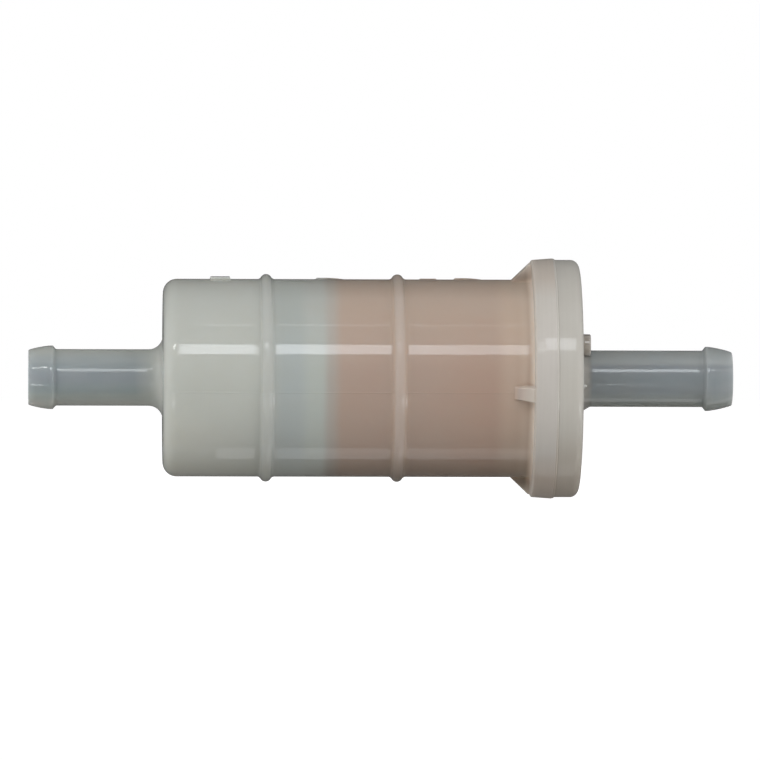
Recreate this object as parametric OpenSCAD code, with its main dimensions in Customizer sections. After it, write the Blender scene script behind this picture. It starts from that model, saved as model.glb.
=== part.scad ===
// In-line fuel filter with a see-through moulded housing and a pleated paper element.
// All sizes are in millimetres.
//
// The filter lies along +X, and fuel runs the same way: in at X = 0, through the empty
// inlet chamber, round the closed end of the element, inwards through the paper, along
// the support core and out through the cap's spigot and nipple.
// The origin is on the axis, in the plane of the inlet nipple's open end. +Z is up.

/* [Hose nipples] */
// Outside diameter of both nipples, which is the bore of the hose
nipple_d = 8; // [6:0.5:8.5]
// Bore through both nipples
nipple_bore_d = 5; // [3:0.5:5.5]
// Diameter of the inlet barb's crest
inlet_barb_d = 9; // [8.6:0.1:10.4]
// Diameter of the outlet barb's crest
outlet_barb_d = 9.1; // [8.6:0.1:10.4]
// Diameter at the inlet's open end
inlet_tip_d = 7.8; // [6.6:0.1:8.4]
// Diameter at the outlet's open end
outlet_tip_d = 7.6; // [6.6:0.1:8.4]
// Open end to the crest on the inlet
inlet_lead = 3; // [2:0.1:5]
// Open end to the crest on the outlet
outlet_lead = 3.3; // [2:0.1:5]
// Length of a barb's crest
barb_land = 0.4; // [0.3:0.1:1]
// Length of the slope behind a barb's crest
barb_back = 0.5; // [0.3:0.1:1]
// How far a lead-in swells past a straight cone
barb_bulge = 0.08; // [0:0.02:0.2]
// Inlet nipple, from its open end to the bowl
inlet_nipple_len = 19; // [14:0.5:30]
// Outlet nipple, from the cap's face to its open end
outlet_nipple_len = 21.8; // [16:0.1:32]

/* [Bowl] */
// Outside diameter of the barrel
bowl_d = 28; // [27:0.5:36]
// Wall of the barrel
bowl_wall = 1.8; // [1.4:0.1:2]
// Length of the barrel, from its closed end to the flange
bowl_len = 52.1; // [44:0.1:70]
// Thickness of the bowl's closed end
bowl_floor = 1.8; // [1.4:0.1:3]
// Radius round the bowl's closed end
bowl_corner_r = 2; // [0.8:0.1:3]
// Radius inside the bowl's closed end
chamber_corner_r = 0.8; // [0.2:0.1:2]
// Fillet where the inlet nipple meets the bowl
inlet_fillet_r = 2; // [0.5:0.1:3]
// Length of the empty chamber, up to the element's skirt
chamber_len = 13.9; // [6:0.1:16]

/* [Bands on the barrel] */
// First band's distance from the closed end
band_first = 14.6; // [6:0.1:18]
// Distance between the two bands
band_pitch = 18.6; // [10:0.1:22]
// Radius of a band's round section
band_r = 0.85; // [0.7:0.05:1.2]
// How far a band stands out of the barrel
band_out = 0.7; // [0.3:0.05:0.7]

/* [Flange and cap] */
// How far the flange stands out of the barrel, at its back
flange_out = 2.825; // [2.6:0.025:5]
// Thickness of the flange
flange_t = 3; // [2.8:0.1:5]
// How much the flange's radius grows over its thickness
flange_draft = 0.2; // [0:0.05:0.4]
// Radius on the flange's back edge
flange_edge_r = 0.3; // [0.1:0.1:0.6]
// Thickness of the weld between the flange and the cap
weld_t = 0.3; // [0.2:0.1:0.6]
// Gap between the weld and the bowl's mouth
weld_inset = 0.6; // [0.3:0.1:1]
// Thickness of the cap at its rim
cap_t = 3.5; // [3:0.1:6]
// Thickness of the cap's web inside its rim
cap_web_t = 2.2; // [1.6:0.1:2.4]
// Radius round the cap's outer edge
cap_corner_r = 1.2; // [0.4:0.1:1.6]
// Number of gussets behind the flange
gusset_count = 4; // [3:1:8]
// Thickness of a gusset
gusset_t = 1.8; // [1:0.1:2.4]
// How far the gussets are turned about the axis from the upright
gusset_turn = 8.5; // [-40:0.5:40]
// Radius of the cone at the foot of the outlet nipple
outlet_root_r = 4.85; // [4.4:0.05:6]
// Length of the cone at the foot of the outlet nipple
outlet_root_len = 1.6; // [0.8:0.1:3]
// Diameter of the moulding gate's stub on the cap
gate_d = 3.1; // [1.5:0.1:4]
// Height of the moulding gate's stub
gate_h = 1.7; // [0.5:0.1:2.5]
// Distance of the gate's stub from the axis
gate_offset = 5.6; // [4:0.1:9]
// Turn of the gate's stub about the axis, from straight up towards -Y
gate_turn = 32; // [0:1:90]

/* [Flow marks] */
// Height of the plain pad above the barrel
pad_h = 0.37; // [0.1:0.01:0.6]
// Height of the chevrons and of the arrow's shaft above the barrel
arrow_h = 0.2; // [0.1:0.01:0.6]
// Length of the plain pad, along the flow
pad_len = 2.8; // [1:0.1:5]
// Distance from the pad's middle to the first band
pad_to_band = 6.5; // [3:0.1:9]
// Width of the pad and of the chevrons, across the flow
mark_w = 4; // [2:0.1:6]
// Distance from the first band to the middle of the first chevron
chevron_first = 9; // [4:0.1:12]
// Distance from the second band to the middle of the arrow's shaft
shaft_first = 4.4; // [3:0.1:6]
// Length of the arrow's shaft
shaft_len = 2.4; // [1:0.1:3]
// Width of the arrow's shaft
shaft_w = 1.4; // [0.6:0.1:2]
// Distance from the middle of the arrow's shaft to the middle of its head
shaft_to_head = 5.6; // [4:0.1:8]
// Width of a chevron's stroke, along the flow
chevron_stroke = 1.6; // [0.6:0.1:2]
// How far the chevrons and the shaft are turned about the axis, behind the top line
mark_turn = 8; // [-30:1:30]

/* [Filter element] */
// Number of pleats
pleats = 30; // [16:1:34]
// Thickness of the filter paper
paper_t = 0.4; // [0.2:0.05:0.5]
// Gap for fuel between the element and the barrel
element_gap = 0.7; // [0.5:0.05:1.4]
// Wall of the end plates' rims
plate_rim_t = 0.5; // [0.4:0.05:0.8]
// Thickness of the end plates
plate_t = 1.2; // [0.8:0.1:1.3]
// Length of the skirt in front of the closed end plate
skirt_len = 3.8; // [2:0.1:6]
// Depth of the closed end plate's cup, from its outer face to its rim
closed_cup_len = 4.25; // [3.2:0.05:6]
// Thickness of the adhesive under the paper's ends
potting_floor = 0.5; // [0.3:0.1:0.6]
// How deep the paper stands in the adhesive
potting_grip = 0.8; // [0.5:0.1:0.8]
// Radial room beside the paper's folds
paper_room = 0.1; // [0.05:0.05:0.3]
// Depth of the glued seam inside its pleat
seam_depth = 1.4; // [0.6:0.1:1.6]

/* [Support core] */
// Outside diameter of the support core
core_d = 12.8; // [12.4:0.1:14]
// Wall of the support core
core_wall = 0.8; // [0.6:0.1:0.9]
// Rows of windows along the core
window_rows = 6; // [3:1:7]
// Windows round the core
windows_round = 4; // [2:2:6]
// Width of a window
window_w = 4.2; // [2:0.1:4.6]
// Solid ring between two rows of windows
window_rib = 1.4; // [0.8:0.1:2]
// Radial clearance between the core and what it fits over
core_clear = 0.1; // [0.05:0.05:0.2]
// Length of the closed end plate's stub inside the core
stub_len = 2; // [1:0.1:2.2]

/* [Spigot and seal] */
// Outside diameter of the cap's spigot
spigot_d = 8.6; // [8.2:0.1:9]
// Length of the spigot, from the cap's web to its end
spigot_len = 8.3; // [7.5:0.1:12]
// Radial clearance between the spigot and the open end plate's collar
spigot_clear = 0.2; // [0.1:0.05:0.3]
// Depth of the seal's groove in the spigot
groove_depth = 1; // [0.6:0.05:1.1]
// Length of the seal along the spigot, squeezed between the groove and the collar
seal_len = 1.8; // [1.4:0.1:2.4]
// Room beside the seal in its groove, on each side
seal_room = 0.2; // [0.1:0.05:0.4]
// Distance of the seal from the spigot's end
seal_from_end = 2.4; // [1.6:0.1:3]

/* [Hidden] */
$fn = 96;

// How far a cutting shape runs past what it cuts, and a joined shape into what it joins.
over = 0.5;
// Straight steps along a small rounding, and round the fold of a pleat.
arc_steps = 8;
fold_steps = 4;

// Radii of the nipples.
nipple_r = nipple_d / 2;
bore_r = nipple_bore_d / 2;

// Radii of the housing. The bowl's mouth is wider than the barrel, so that the open end
// plate lies on a shoulder there and the cap's register holds it down.
mouth_step = 0.8;
mouth_clear = 0.1;
register_w = 1;
bowl_r = bowl_d / 2;
bowl_in_r = bowl_r - bowl_wall;
mouth_r = bowl_in_r + mouth_step;
register_r = mouth_r - mouth_clear;
flange_r = bowl_r + flange_out;
weld_r = flange_r + flange_draft;
cap_r = flange_r;

// Stations of the housing along X.
bowl_x = inlet_nipple_len;
chamber_x = bowl_x + bowl_floor;
flange_x = bowl_x + bowl_len;
seat_x = flange_x + flange_t / 2;
weld_x = flange_x + flange_t;
cap_x = weld_x + weld_t;
cap_face_x = cap_x + cap_t;
cap_web_x = cap_face_x - cap_web_t;
outlet_end_x = cap_face_x + outlet_nipple_len;
band_xs = [bowl_x + band_first, bowl_x + band_first + band_pitch];

// The filter element, from the outside in and along X.
rim_r = bowl_in_r - element_gap;
rim_in_r = rim_r - plate_rim_t;
paper_r = rim_in_r - paper_room;
core_r = core_d / 2;
core_in_r = core_r - core_wall;
paper_in_r = core_r + paper_room;
socket_r = core_in_r - core_clear;
stub_wall = 0.8;
skirt_x = chamber_x + chamber_len;
closed_plate_x = skirt_x + skirt_len;
closed_seat_x = closed_plate_x + plate_t;
closed_rim_x = closed_plate_x + closed_cup_len;
paper_x0 = closed_seat_x + potting_floor;
paper_x1 = seat_x - potting_floor;
open_rim_x = flange_x + 0.1;
plate_back_x = seat_x + plate_t;

// The spigot and its seal.
spigot_r = spigot_d / 2;
spigot_x = cap_web_x - spigot_len;
collar_r = spigot_r + spigot_clear;
collar_past = 0.4;
collar_x = spigot_x - collar_past;
lead_in = 0.4;
groove_r = spigot_r - groove_depth;
seal_x = spigot_x + seal_from_end;

// The paper's zigzag. Its middle line runs between the centres of the folds, and a flank
// leans from the radius by peak_lean at an outer fold and by root_lean at an inner one.
pitch = 360 / pleats;
fold_r = paper_t / 2;
peak_r = paper_r - fold_r;
root_r = paper_in_r + fold_r;
peak_lean = atan2(root_r * sin(pitch / 2), peak_r - root_r * cos(pitch / 2));
root_lean = peak_lean + pitch / 2;
crease_out_r = root_r + fold_r / sin(root_lean);
crease_in_r = peak_r - fold_r / sin(peak_lean);

function polar(r, a) = [r * cos(a), r * sin(a)];

// Points on an arc, as [radius, x] pairs. Angles run from the +X direction outwards.
function arc(r, x, radius, from, to, steps = arc_steps) =
    [for (i = [0 : steps]) let (a = from + (to - from) * i / steps)
        [r + radius * sin(a), x + radius * cos(a)]];

// A barb from its open end back to the plain tube, as [radius, distance] pairs.
function barb(tip_r, crest_r, lead) = concat(
    [for (i = [0 : arc_steps]) let (t = i / arc_steps)
        [tip_r + (crest_r - tip_r) * t + barb_bulge * sin(180 * t), lead * t]],
    [[crest_r, lead + barb_land], [nipple_r, lead + barb_land + barb_back]]);

// The same pairs for a barb that points along +X and ends at x, in order of x.
function barb_to(points, x) =
    [for (i = [len(points) - 1 : -1 : 0]) [points[i][0], x - points[i][1]]];

// A band's round back, between the two lines where it meets the barrel.
band_foot = asin((band_r - band_out) / band_r);
function band(x) =
    arc(bowl_r + band_out - band_r, x, band_r, 180 - band_foot, band_foot, 2 * arc_steps);

// The outer side of the paper: a round fold at each pleat's peak and a crease between two.
function pleats_outside() = [for (i = [0 : pleats - 1]) each concat(
    [for (s = [-fold_steps : 2 : fold_steps])
        polar(peak_r, i * pitch) + polar(fold_r, i * pitch + s / fold_steps * (90 - peak_lean))],
    [polar(crease_out_r, (i + 0.5) * pitch)])];

// The inner side of the paper: a crease under each peak and a round fold between two.
function pleats_inside() = [for (i = [0 : pleats - 1]) each concat(
    [polar(crease_in_r, i * pitch)],
    [for (s = [fold_steps : -2 : -fold_steps])
        polar(root_r, (i + 0.5) * pitch)
            - polar(fold_r, (i + 0.5) * pitch + s / fold_steps * (90 - root_lean))])];

// A profile of [radius, x] pairs, turned about the X axis.
module turned(profile) {
    rotate([0, 90, 0])
        rotate_extrude()
            polygon(profile);
}

// A flat shape in Y and Z, drawn out along X from x0 to x1.
module along_x(x0, x1) {
    translate([x0, 0, 0])
        rotate([90, 0, 90])
            linear_extrude(x1 - x0)
                children();
}

module pleat_section() {
    difference() {
        polygon(pleats_outside());
        polygon(pleats_inside());
    }
}

// Adhesive with its floor between floor_x0 and floor_x1, and the paper's end in its grip.
module potting(floor_x0, floor_x1, grip_x0, grip_x1) {
    along_x(floor_x0, floor_x1)
        difference() {
            circle(rim_in_r);
            circle(core_r);
        }
    along_x(grip_x0, grip_x1)
        difference() {
            circle(rim_in_r);
            circle(core_r);
            pleat_section();
        }
}

// A gusset in the plane of X and Z: its slope climbs from the barrel to the flange's edge.
module gusset() {
    top_r = flange_r - flange_edge_r;
    foot_x = flange_x - (top_r - bowl_r);
    rotate([90, 0, 0])
        linear_extrude(gusset_t, center = true)
            polygon([
                [foot_x - over, bowl_r - over],
                [flange_x, top_r],
                [flange_x + over, top_r],
                [flange_x + over, bowl_r - over]]);
}

// A raised mark, h high: the outline, drawn in X and Y, cut out of a shell round the barrel.
module raised_mark(x0, x1, h) {
    intersection() {
        translate([x0, 0, 0])
            rotate([0, 90, 0])
                difference() {
                    cylinder(h = x1 - x0, r = bowl_r + h);
                    translate([0, 0, -over])
                        cylinder(h = x1 - x0 + 2 * over, r = bowl_r - over);
                }
        linear_extrude(bowl_r + 2 * h)
            children();
    }
}

// A raised bar, len long, w wide and h high, with its middle at x.
module bar(x, len, w, h) {
    raised_mark(x - len / 2, x + len / 2, h)
        translate([x, 0])
            square([len + 2 * over, w], center = true);
}

// A chevron that points along the flow, with its point at x + mark_w / 2.
module chevron(x) {
    half = mark_w / 2;
    raised_mark(x - half, x + half, arrow_h)
        polygon([
            [x - half, half],
            [x - half + chevron_stroke, half],
            [x + half, 0],
            [x - half + chevron_stroke, -half],
            [x - half, -half],
            [x + half - chevron_stroke, 0]]);
}

module inlet_bowl() {
    color("honeydew", 0.5) {
        turned(concat(
            [[bore_r, 0]],
            barb(inlet_tip_d / 2, inlet_barb_d / 2, inlet_lead),
            arc(nipple_r + inlet_fillet_r, bowl_x - inlet_fillet_r, inlet_fillet_r, -90, 0),
            arc(bowl_r - bowl_corner_r, bowl_x + bowl_corner_r, bowl_corner_r, 180, 90),
            band(band_xs[0]),
            band(band_xs[1]),
            [[bowl_r, flange_x]],
            arc(flange_r - flange_edge_r, flange_x + flange_edge_r, flange_edge_r, 180, 90, 3),
            [[weld_r, weld_x],
                [mouth_r, weld_x],
                [mouth_r, seat_x],
                [bowl_in_r, seat_x]],
            arc(bowl_in_r - chamber_corner_r, chamber_x + chamber_corner_r, chamber_corner_r,
                90, 180),
            [[bore_r, chamber_x]]));
        for (i = [0 : gusset_count - 1])
            rotate([gusset_turn + i * 360 / gusset_count, 0, 0])
                gusset();
        bar(band_xs[0] - pad_to_band, pad_len, mark_w, pad_h);
        rotate([-mark_turn, 0, 0]) {
            chevron(band_xs[0] + chevron_first);
            bar(band_xs[1] + shaft_first, shaft_len, shaft_w, arrow_h);
            chevron(band_xs[1] + shaft_first + shaft_to_head);
        }
    }
}

module outlet_cap() {
    color("ivory") {
        turned(concat(
            [[bore_r, spigot_x],
                [spigot_r - lead_in, spigot_x],
                [spigot_r, spigot_x + lead_in],
                [spigot_r, seal_x - seal_room],
                [groove_r, seal_x - seal_room],
                [groove_r, seal_x + seal_len + seal_room],
                [spigot_r, seal_x + seal_len + seal_room],
                [spigot_r, cap_web_x],
                [register_r - register_w, cap_web_x],
                [register_r - register_w, plate_back_x],
                [register_r, plate_back_x],
                [register_r, cap_x],
                [cap_r, cap_x]],
            arc(cap_r - cap_corner_r, cap_face_x - cap_corner_r, cap_corner_r, 90, 0),
            [[outlet_root_r, cap_face_x],
                [nipple_r, cap_face_x + outlet_root_len]],
            barb_to(barb(outlet_tip_d / 2, outlet_barb_d / 2, outlet_lead), outlet_end_x),
            [[bore_r, outlet_end_x]]));
        difference() {
            rotate([gate_turn, 0, 0])
                translate([cap_face_x - over, 0, gate_offset])
                    rotate([0, 90, 0])
                        cylinder(h = gate_h + over, d = gate_d);
            translate([cap_face_x - 2 * over, 0, 0])
                rotate([0, 90, 0])
                    cylinder(h = gate_h + 4 * over, r = nipple_r - over);
        }
    }
}

module weld_bead() {
    color("wheat")
        turned([
            [mouth_r + weld_inset, weld_x],
            [weld_r, weld_x],
            [weld_r, cap_x],
            [mouth_r + weld_inset, cap_x]]);
}

module closed_end_plate() {
    color("whitesmoke")
        turned([
            [0, closed_plate_x],
            [rim_in_r, closed_plate_x],
            [rim_in_r, skirt_x],
            [rim_r, skirt_x],
            [rim_r, closed_rim_x],
            [rim_in_r, closed_rim_x],
            [rim_in_r, closed_seat_x],
            [socket_r, closed_seat_x],
            [socket_r, closed_seat_x + stub_len],
            [socket_r - stub_wall, closed_seat_x + stub_len],
            [socket_r - stub_wall, closed_seat_x],
            [0, closed_seat_x]]);
}

module open_end_plate() {
    color("whitesmoke")
        turned([
            [collar_r, collar_x],
            [socket_r, collar_x],
            [socket_r, seat_x],
            [rim_in_r, seat_x],
            [rim_in_r, open_rim_x],
            [rim_r, open_rim_x],
            [rim_r, seat_x],
            [register_r, seat_x],
            [register_r, plate_back_x],
            [collar_r + lead_in, plate_back_x],
            [collar_r, plate_back_x - lead_in]]);
}

module pleated_paper() {
    color("peachpuff")
        along_x(paper_x0, paper_x1)
            pleat_section();
}

// The paper's two ends are glued together inside the fold of the first pleat.
module seam_adhesive() {
    crease = polar(crease_in_r, 0);
    color("burlywood")
        along_x(paper_x0 + potting_grip, paper_x1 - potting_grip)
            polygon([
                crease,
                crease - polar(seam_depth, -peak_lean),
                crease - polar(seam_depth, peak_lean)]);
}

module closed_end_potting() {
    color("khaki")
        potting(closed_seat_x, paper_x0, paper_x0, paper_x0 + potting_grip);
}

module open_end_potting() {
    color("khaki")
        potting(paper_x1, seat_x, paper_x1 - potting_grip, paper_x1);
}

module support_core() {
    windows_x0 = paper_x0 + potting_grip + window_rib;
    windows_x1 = collar_x - window_rib;
    window_pitch = (windows_x1 - windows_x0 + window_rib) / window_rows;
    color("gainsboro")
        difference() {
            turned([
                [core_in_r, closed_seat_x],
                [core_r, closed_seat_x],
                [core_r, seat_x],
                [core_in_r, seat_x]]);
            for (row = [0 : window_rows - 1])
                for (i = [0 : windows_round / 2 - 1])
                    translate([windows_x0 + row * window_pitch, 0, 0])
                        rotate([i * 360 / windows_round, 0, 0])
                            translate([0, -core_r - over, -window_w / 2])
                                cube([window_pitch - window_rib, core_d + 2 * over, window_w]);
        }
}

// The seal as it sits when squeezed: flat on its groove and on the collar, round at its ends.
module spigot_seal() {
    end_r = (collar_r - groove_r) / 2;
    color("dimgray")
        turned(concat(
            arc(groove_r + end_r, seal_x + end_r, end_r, 270, 90),
            arc(groove_r + end_r, seal_x + seal_len - end_r, end_r, 90, -90)));
}

inlet_bowl();
outlet_cap();
weld_bead();
closed_end_plate();
open_end_plate();
pleated_paper();
seam_adhesive();
closed_end_potting();
open_end_potting();
support_core();
spigot_seal();
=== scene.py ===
"""The looks of an in-line fuel filter: a milky nylon housing round a pleated element.

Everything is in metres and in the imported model's frame. The filter lies along +X and the
camera looks along +Y. Outlines are drawn in millimetres, as [x, radius] points that are
turned about the X axis, and MM brings them to metres.
"""

import math

import bpy
import numpy as np
from mathutils import Matrix, Vector


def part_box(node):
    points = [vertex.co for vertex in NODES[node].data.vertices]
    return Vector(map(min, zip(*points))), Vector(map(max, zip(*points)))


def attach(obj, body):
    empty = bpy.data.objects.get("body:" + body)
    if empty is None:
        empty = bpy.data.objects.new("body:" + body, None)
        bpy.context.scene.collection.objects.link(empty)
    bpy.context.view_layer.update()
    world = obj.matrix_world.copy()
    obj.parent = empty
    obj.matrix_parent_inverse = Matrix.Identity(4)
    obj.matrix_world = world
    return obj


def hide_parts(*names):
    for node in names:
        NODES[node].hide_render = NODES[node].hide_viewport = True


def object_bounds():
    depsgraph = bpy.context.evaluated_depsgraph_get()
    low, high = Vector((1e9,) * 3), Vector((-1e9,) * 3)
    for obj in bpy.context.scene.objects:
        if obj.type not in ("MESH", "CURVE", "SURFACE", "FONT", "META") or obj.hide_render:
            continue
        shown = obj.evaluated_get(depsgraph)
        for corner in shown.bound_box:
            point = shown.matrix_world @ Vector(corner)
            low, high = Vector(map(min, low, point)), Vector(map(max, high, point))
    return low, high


MM = 0.001

# Sizes that the boxes of the CAD nodes don't give, in millimetres.
# The two nipples. A lead runs from the open end to the crest, a land is the flat on top, and
# the rounds soften the crest's back edge, along and inwards, and the foot, before and after.
NIPPLE_R = 4.0
BORE_R = 2.5
INLET_TIP_R = 3.9
INLET_CREST_R = 4.5
INLET_LEAD = 3.0
OUTLET_TIP_R = 3.8
OUTLET_CREST_R = 4.55
OUTLET_LEAD = 3.3
BARB_LAND = 0.4
BARB_BACK = 0.5
BARB_BULGE = 0.08
TIP_ROUND_R = 0.12
CREST_ROUND = (0.08, 0.03)
FOOT_ROUND = (0.06, 0.08)
BORE_EDGE = 0.15
BORE_CHAMFER = 0.2
# The bowl: its end, its barrel and its inside.
BOWL_X = 19.0
BOWL_FLOOR = 1.8
BARREL_R = 14.0
BARREL_IN_R = 12.2
BOWL_CORNER_R = 2.0
CHAMBER_CORNER_R = 0.8
INLET_FILLET_R = 2.0
# The bands. A fillet's points are (reach from the band's middle, rise over the barrel), and
# the foot is the angle at which the band's round back stops.
BAND_XS = (33.6, 52.2)
BAND_R = 0.85
BAND_OUT = 0.7
BAND_FILLET = ((1.2, 0.0), (1.08, 0.012), (0.98, 0.05), (0.9, 0.12))
BAND_FOOT = 22
# The flange and the mouth that takes the cap.
FLANGE_X = 71.1
FLANGE_BACK_R = 16.825
FLANGE_MIDDLE_R = 16.92
FLANGE_EDGE_R = 0.3
FLANGE_FILLET_R = 0.45
SEAT_X = 72.6
MOUTH_R = 13.0
JOINT_R = 15.0
# The cap, the gate's stub on it, and its spigot and register inside.
CAP_R = 16.825
CAP_FACE_X = 77.9
CAP_WEB_X = 75.7
CAP_CORNER_R = 1.2
ROOT_R = 4.85
ROOT_LEN = 1.6
ROOT_FILLET_R = 0.3
GATE_R = 1.55
GATE_H = 1.6
GATE_EDGE_R = 0.15
GATE_SUNK = 0.3
GATE_OFFSET = 5.6
GATE_TURN = 32.0
SPIGOT_R = 4.3
SPIGOT_CHAMFER = 0.4
REGISTER_R = 12.9
REGISTER_IN_R = 11.9
PLATE_BACK_X = 73.8
# The weld. Its lip wanders by (waves round the filter, height, phase).
WELD_IN_R = 13.6
WELD_LIP_FOOT_R = 15.5
WELD_WANDER = ((5, 0.014, 0.4), (13, 0.01, 2.1), (31, 0.006, 4.0))

# Angles about X, in degrees from straight up, growing towards the camera.
GUSSETS = (8.5, 98.5, 188.5, 278.5)
PARTING = (98.5, 278.5)
MARK_TURN = -8.0

# What stands on the barrel, in millimetres: gussets, a pad, arrow marks and parting lines.
GUSSET_HALF = 0.95
GUSSET_FOOT_HALF = 0.9
GUSSET_TOP_R = 16.5
GUSSET_FOOT_X = 68.25
GUSSET_TOP_X = 70.85
PAD_H = 0.37
ARROW_H = 0.2
MARK_W = 4.0
PAD_X, PAD_LEN = 27.1, 2.8
CHEVRON_XS = (42.6, 62.2)
CHEVRON_STROKE = 1.6
SHAFT_X, SHAFT_LEN, SHAFT_W = 56.6, 2.4, 1.4
PARTING_H = 0.035
PARTING_HALF = 0.09

# How far apart the bowl's rings are, in millimetres, and its columns, in degrees.
PLAIN_STEP = 1.0
MARK_STEP = 0.12
CHEVRON_STEP = 0.14
MARK_MARGIN = 0.3
COLUMN_STEP = 2.0
COLUMN_GAP = 0.08
MARK_COLUMNS = (-17.6, 9.2, 0.6)
GUSSET_EDGE_COLUMNS = (2.2, 4.3, 0.2)
PARTING_COLUMNS = (-0.75, -0.37, -0.18, 0, 0.18, 0.37, 0.75)
GUSSET_EDGE_RAMP = 0.3
MARK_EDGE_RAMP = 0.14
# Edges over this many degrees stay sharp.
SHARP = 32

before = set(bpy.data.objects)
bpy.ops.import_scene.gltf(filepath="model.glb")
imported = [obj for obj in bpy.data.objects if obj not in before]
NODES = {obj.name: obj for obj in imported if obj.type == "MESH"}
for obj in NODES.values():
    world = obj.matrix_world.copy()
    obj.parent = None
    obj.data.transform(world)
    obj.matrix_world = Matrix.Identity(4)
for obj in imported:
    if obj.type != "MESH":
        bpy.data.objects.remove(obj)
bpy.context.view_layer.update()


# ---------------------------------------------------------------- outlines


def arc(x, r, radius, start, end, steps):
    """Points round (x, r); 0 degrees is along +X and 90 is outwards."""
    turn = np.radians(np.linspace(start, end, steps + 1))
    return [(x + radius * math.cos(a), r + radius * math.sin(a)) for a in turn]


def spaced(start, end, step):
    """Values from start up to but not with end, no further apart than step."""
    count = max(1, math.ceil(abs(end - start) / step))
    return list(np.linspace(start, end, count + 1)[:-1])


def barb(tip_r, crest_r, lead):
    """A barb from its open end back to the plain tube, as [distance, radius] points."""
    points = arc(TIP_ROUND_R, tip_r - TIP_ROUND_R, TIP_ROUND_R, 180, 105, 5)
    for share in np.linspace(0.12, 1, 11):
        swell = BARB_BULGE * math.sin(math.pi * share)
        points.append((lead * share, tip_r + (crest_r - tip_r) * share + swell))
    crest = lead + BARB_LAND
    foot = crest + BARB_BACK
    points.append((crest, crest_r))
    points.append((crest + CREST_ROUND[0], crest_r - CREST_ROUND[1]))
    points.append((foot - FOOT_ROUND[0], NIPPLE_R + FOOT_ROUND[0]))
    points.append((foot + FOOT_ROUND[1], NIPPLE_R))
    return points


def band(x):
    """The round back of a band, and the small fillets where it meets the barrel."""
    middle_r = BARREL_R + BAND_OUT - BAND_R
    back = arc(x, middle_r, BAND_R, 180 - BAND_FOOT, BAND_FOOT, 16)
    before = [(x - reach, BARREL_R + rise) for reach, rise in BAND_FILLET]
    after = [(x + reach, BARREL_R + rise) for reach, rise in reversed(BAND_FILLET)]
    return before + back + after


def barrel_stations():
    """Where the barrel's rings are: close together where something stands on it."""
    marked = (
        (PAD_X, PAD_LEN, MARK_STEP),
        (CHEVRON_XS[0], MARK_W, CHEVRON_STEP),
        (SHAFT_X, SHAFT_LEN, MARK_STEP),
        (CHEVRON_XS[1], MARK_W, CHEVRON_STEP),
    )
    close = []
    for middle, length, step in marked:
        half = length / 2 + MARK_MARGIN
        close.append((middle - half, middle + half, step))
    close.append((GUSSET_FOOT_X - 0.2, FLANGE_X - FLANGE_FILLET_R, MARK_STEP))
    at = BOWL_X + BOWL_CORNER_R
    stations = [at + 0.1]
    for start, end, step in close:
        stations += spaced(at, start, PLAIN_STEP) + spaced(start, end, step)
        at = end
    reach = BAND_FILLET[0][0] + 0.05
    return [x for x in stations if all(abs(x - b) > reach for b in BAND_XS)]


# ---------------------------------------------------------------- what stands on the barrel


def ramp(distance, width=MARK_EDGE_RAMP):
    """0 outside an edge and 1 inside it, with a small rounded step between."""
    t = np.clip(distance / width + 0.5, 0, 1)
    return t * t * (3 - 2 * t)


def bar(u, v, length, width):
    """1 on a bar and 0 beside it."""
    return ramp(length / 2 - np.abs(u)) * ramp(width / 2 - np.abs(v))


def chevron(u, v):
    """1 on a chevron that points along the flow, and 0 beside it."""
    half = MARK_W / 2
    lean = (MARK_W - CHEVRON_STROKE) / half
    square_on = 1 / math.hypot(1, lean)
    front = (half - lean * np.abs(v) - u) * square_on
    back = (u - half + CHEVRON_STROKE + lean * np.abs(v)) * square_on
    return ramp(front) * ramp(back) * ramp(half - np.abs(v))


def marks(x, turn):
    """Height of the pad, the chevrons and the arrow's shaft at x, for columns at turn."""
    straight = BARREL_R * np.sin(np.radians(turn))
    leaning = BARREL_R * np.sin(np.radians(turn - MARK_TURN))
    up = np.cos(np.radians(turn)) > 0
    height = PAD_H * bar(x - PAD_X, straight, PAD_LEN, MARK_W)
    for centre in CHEVRON_XS:
        height = height + ARROW_H * chevron(x - centre, leaning)
    height = height + ARROW_H * bar(x - SHAFT_X, leaning, SHAFT_LEN, SHAFT_W)
    return height * up


def parting_line(turn, r):
    """The faint ridge where the two halves of the mould met."""
    height = np.zeros_like(turn)
    for centre in PARTING:
        aside = np.abs(r * np.radians(turn - centre))
        height += PARTING_H * np.clip(1 - aside / PARTING_HALF, 0, 1)
    return height


def gussets(x, turn):
    """How far the gussets stand out of the barrel at x."""
    along = min(1, (x - GUSSET_FOOT_X) / (GUSSET_TOP_X - GUSSET_FOOT_X))
    if along <= 0:
        return np.zeros_like(turn)
    half = GUSSET_FOOT_HALF + (GUSSET_HALF - GUSSET_FOOT_HALF) * along
    height = np.zeros_like(turn)
    for centre in GUSSETS:
        aside = np.abs(BARREL_R * np.radians(turn - centre))
        height += (GUSSET_TOP_R - BARREL_R) * along * ramp(half - aside, GUSSET_EDGE_RAMP)
    return height


def columns():
    """Angles of the bowl's columns: close together under the marks and the gussets."""
    turns = list(np.arange(0, 360, COLUMN_STEP))
    turns += list(np.arange(*MARK_COLUMNS) % 360)
    for centre in GUSSETS:
        for edge in np.arange(*GUSSET_EDGE_COLUMNS):
            turns += [(centre + edge) % 360, (centre - edge) % 360]
    for centre in PARTING:
        turns += [centre + step for step in PARTING_COLUMNS]
    kept = []
    for turn in sorted(turns):
        if not kept or turn - kept[-1] > COLUMN_GAP:
            kept.append(turn)
    return np.array(kept)


# ---------------------------------------------------------------- meshes


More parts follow.
